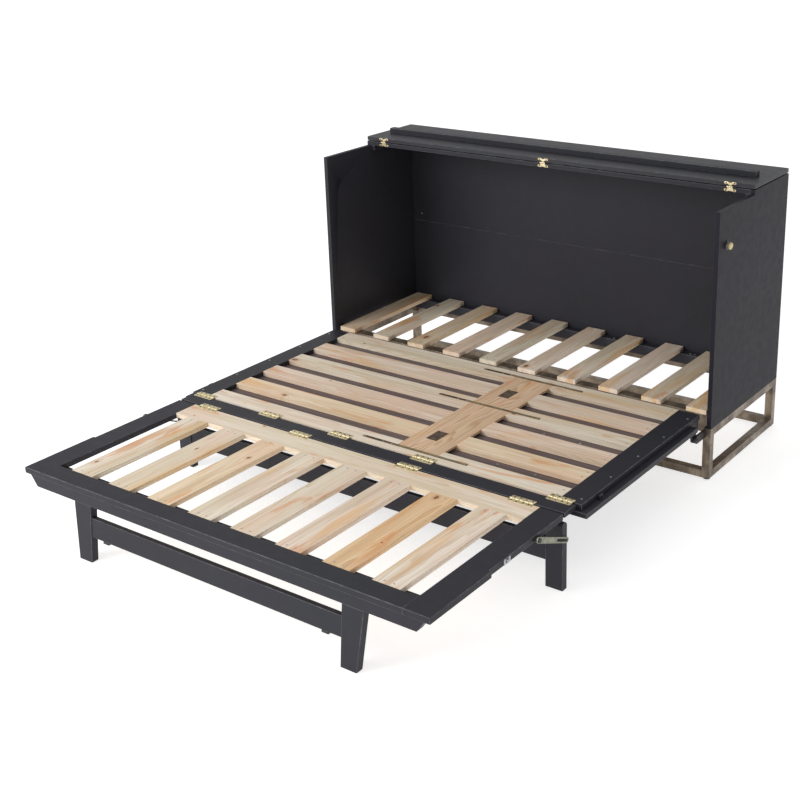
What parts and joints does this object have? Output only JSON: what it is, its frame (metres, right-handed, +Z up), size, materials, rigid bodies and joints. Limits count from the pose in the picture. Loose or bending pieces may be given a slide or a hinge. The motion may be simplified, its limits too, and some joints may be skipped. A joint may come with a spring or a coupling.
{
  "type": "murphy cabinet bed",
  "caption": "Free-standing cabinet murphy bed drawn open: hinged folding slat platform on drop-down legs, flip-over lid and metal sled base.",
  "frame": {"origin": "middle of the footprint on the floor, with the bed drawn open (bottom centre of the bounding box)", "axes": "+Z up, +Y from the foot of the bed to the back of the cabinet, +X to the right seen from the foot of the bed"},
  "size_m": [1.696, 2.1116, 0.995],
  "materials": {
    "charcoal_paint": "satin charcoal paint on wood board",
    "pine": "bare planed pine",
    "bronze_tube": "antique bronze coating on square steel tube",
    "brass": "brass-plated steel",
    "steel": "zinc-plated steel",
    "black_plastic": "matt black plastic",
    "webbing": "woven dark brown webbing"
  },
  "bodies": {
    "cabinet": {"left_side_panel": "charcoal_paint", "right_side_panel": "charcoal_paint", "fixed_top": "charcoal_paint", "lower_back_board": "charcoal_paint", "upper_back_board": "charcoal_paint", "top_cleats": "charcoal_paint", "left_base_frame": "bronze_tube", "right_base_frame": "bronze_tube", "base_cross_tubes": "bronze_tube", "floor_glides": "black_plastic", "front_slat_rail": "bronze_tube", "rear_slat_rail": "charcoal_paint", "head_slats": "pine", "pivot_brackets": "steel", "lid_hinge_lower": "brass", "latch_plates": "brass"},
    "lid": {"lid_panel": "charcoal_paint", "lid_strip": "charcoal_paint", "lid_hinge_upper": "brass"},
    "left_latch_turn": {"left_latch": "brass"},
    "right_latch_turn": {"right_latch": "brass"},
    "middle_section": {"left_middle_rail": "charcoal_paint", "right_middle_rail": "charcoal_paint", "middle_slat_1": "pine", "middle_slat_2": "pine", "middle_slat_3": "pine", "middle_slat_4": "pine", "middle_slat_5": "pine", "middle_slat_6": "pine", "centre_board": "pine", "face_panel": "charcoal_paint", "pivot_arms": "steel", "tie_straps": "steel", "webbing_pads": "webbing", "row_one_middle_leaves": "brass", "middle_catches": "steel"},
    "spine_section": {"spine_strip": "charcoal_paint", "row_one_spine_leaves": "brass", "row_two_spine_leaves": "brass"},
    "foot_section": {"left_foot_rail": "charcoal_paint", "right_foot_rail": "charcoal_paint", "foot_end_rail": "charcoal_paint", "foot_apron": "charcoal_paint", "header_board": "pine", "slat_ledgers": "charcoal_paint", "foot_slats": "pine", "row_two_foot_leaves": "brass", "front_leg_hinge_upper": "steel", "rear_leg_hardware": "steel", "foot_catches": "steel"},
    "front_legs": {"left_front_leg": "charcoal_paint", "right_front_leg": "charcoal_paint", "front_stretcher": "charcoal_paint", "front_leg_hinge_lower": "steel", "stretcher_blocks": "black_plastic"},
    "rear_legs": {"left_rear_leg": "charcoal_paint", "right_rear_leg": "charcoal_paint", "rear_stretcher": "charcoal_paint"},
    "left_brace_bar": {"left_brace": "steel"},
    "right_brace_bar": {"right_brace": "steel"}
  },
  "joints": [
    {"name": "lid_flip", "type": "hinge", "parent": "cabinet", "child": "lid", "pos_m": [0, 0.76316, 0.9575], "axis": [1, 0, 0], "range_deg": [0, 180]},
    {"name": "left_latch_swing", "type": "hinge", "parent": "cabinet", "child": "left_latch_turn", "pos_m": [-0.83, 0.55576, 0.817], "axis": [1, 0, 0], "range_deg": [0, 90]},
    {"name": "right_latch_swing", "type": "hinge", "parent": "cabinet", "child": "right_latch_turn", "pos_m": [0.83, 0.55576, 0.817], "axis": [1, 0, 0], "range_deg": [0, 90]},
    {"name": "middle_fold", "type": "hinge", "parent": "cabinet", "child": "middle_section", "pos_m": [0, 0.43476, 0.169], "axis": [-1, 0, 0], "range_deg": [0, 90]},
    {"name": "spine_fold", "type": "hinge", "parent": "middle_section", "child": "spine_section", "pos_m": [0, -0.31424, 0.245], "axis": [-1, 0, 0], "range_deg": [0, 90]},
    {"name": "foot_fold", "type": "hinge", "parent": "spine_section", "child": "foot_section", "pos_m": [0, -0.38524, 0.245], "axis": [-1, 0, 0], "range_deg": [0, 90]},
    {"name": "front_legs_fold", "type": "hinge", "parent": "foot_section", "child": "front_legs", "pos_m": [0, -1.01264, 0.188], "axis": [1, 0, 0], "range_deg": [0, 95.83]},
    {"name": "rear_legs_fold", "type": "hinge", "parent": "foot_section", "child": "rear_legs", "pos_m": [0, -0.38924, 0.207], "axis": [-1, 0, 0], "range_deg": [0, 90]},
    {"name": "left_brace_swing", "type": "hinge", "parent": "foot_section", "child": "left_brace_bar", "pos_m": [-0.795, -0.53924, 0.232], "axis": [1, 0, 0], "range_deg": [0, 12]},
    {"name": "right_brace_swing", "type": "hinge", "parent": "foot_section", "child": "right_brace_bar", "pos_m": [0.795, -0.53924, 0.232], "axis": [1, 0, 0], "range_deg": [0, 12]}
  ],
  "couplings": [
    {"joint": "left_brace_swing", "follows": "rear_legs_fold", "ratio": 0.12262},
    {"joint": "right_brace_swing", "follows": "rear_legs_fold", "ratio": 0.12262}
  ]
}
